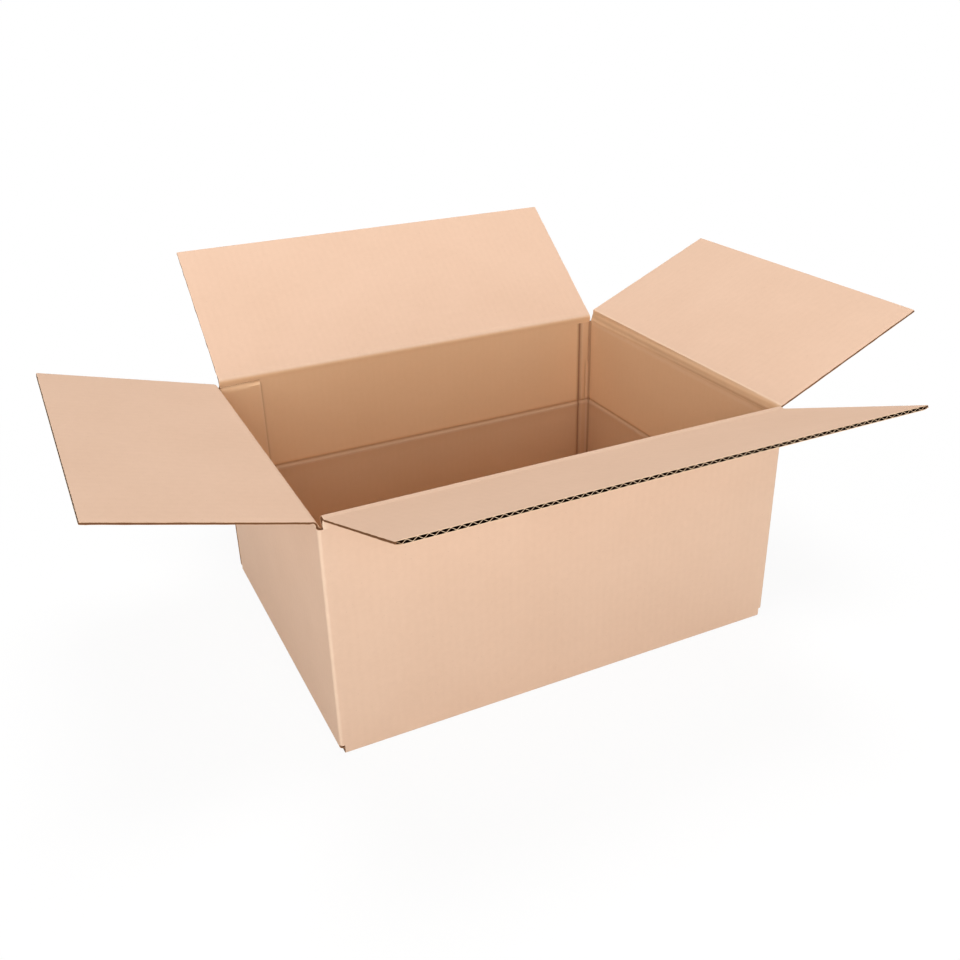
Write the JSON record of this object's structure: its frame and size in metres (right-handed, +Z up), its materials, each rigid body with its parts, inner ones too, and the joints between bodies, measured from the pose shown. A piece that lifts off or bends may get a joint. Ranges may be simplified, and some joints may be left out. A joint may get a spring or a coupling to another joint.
{
  "type": "open cardboard box",
  "caption": "Open corrugated cardboard box with hinged top flaps folded outward at uneven angles, a score line inside its walls and a closed, taped base.",
  "frame": {"origin": "middle of the box's underside, on the bottom seam", "axes": "+Z up through the open top, +X along the long walls, -Y towards the front wall"},
  "size_m": [0.6799, 0.5587, 0.2933],
  "materials": {
    "kraft_board": "matte kraft",
    "closing_tape": "smooth tan film"
  },
  "bodies": {
    "box": {"box_body": "kraft_board", "bottom_tape": "closing_tape"},
    "front": {"front_flap": "kraft_board"},
    "back": {"back_flap": "kraft_board"},
    "left": {"left_flap": "kraft_board"},
    "right": {"right_flap": "kraft_board"}
  },
  "joints": [
    {"name": "front_flap_fold", "type": "hinge", "parent": "box", "child": "front", "pos_m": [0, -0.1501, 0.2], "axis": [-1, 0, 0], "range_deg": [-108.9, 159.1]},
    {"name": "back_flap_fold", "type": "hinge", "parent": "box", "child": "back", "pos_m": [0, 0.1501, 0.2], "axis": [1, 0, 0], "range_deg": [-125.4, 142.6]},
    {"name": "left_flap_fold", "type": "hinge", "parent": "box", "child": "left", "pos_m": [-0.2001, 0, 0.1966], "axis": [0, 1, 0], "range_deg": [-102.7, 165.3]},
    {"name": "right_flap_fold", "type": "hinge", "parent": "box", "child": "right", "pos_m": [0.2001, 0, 0.1966], "axis": [0, -1, 0], "range_deg": [-113.5, 154.5]}
  ]
}
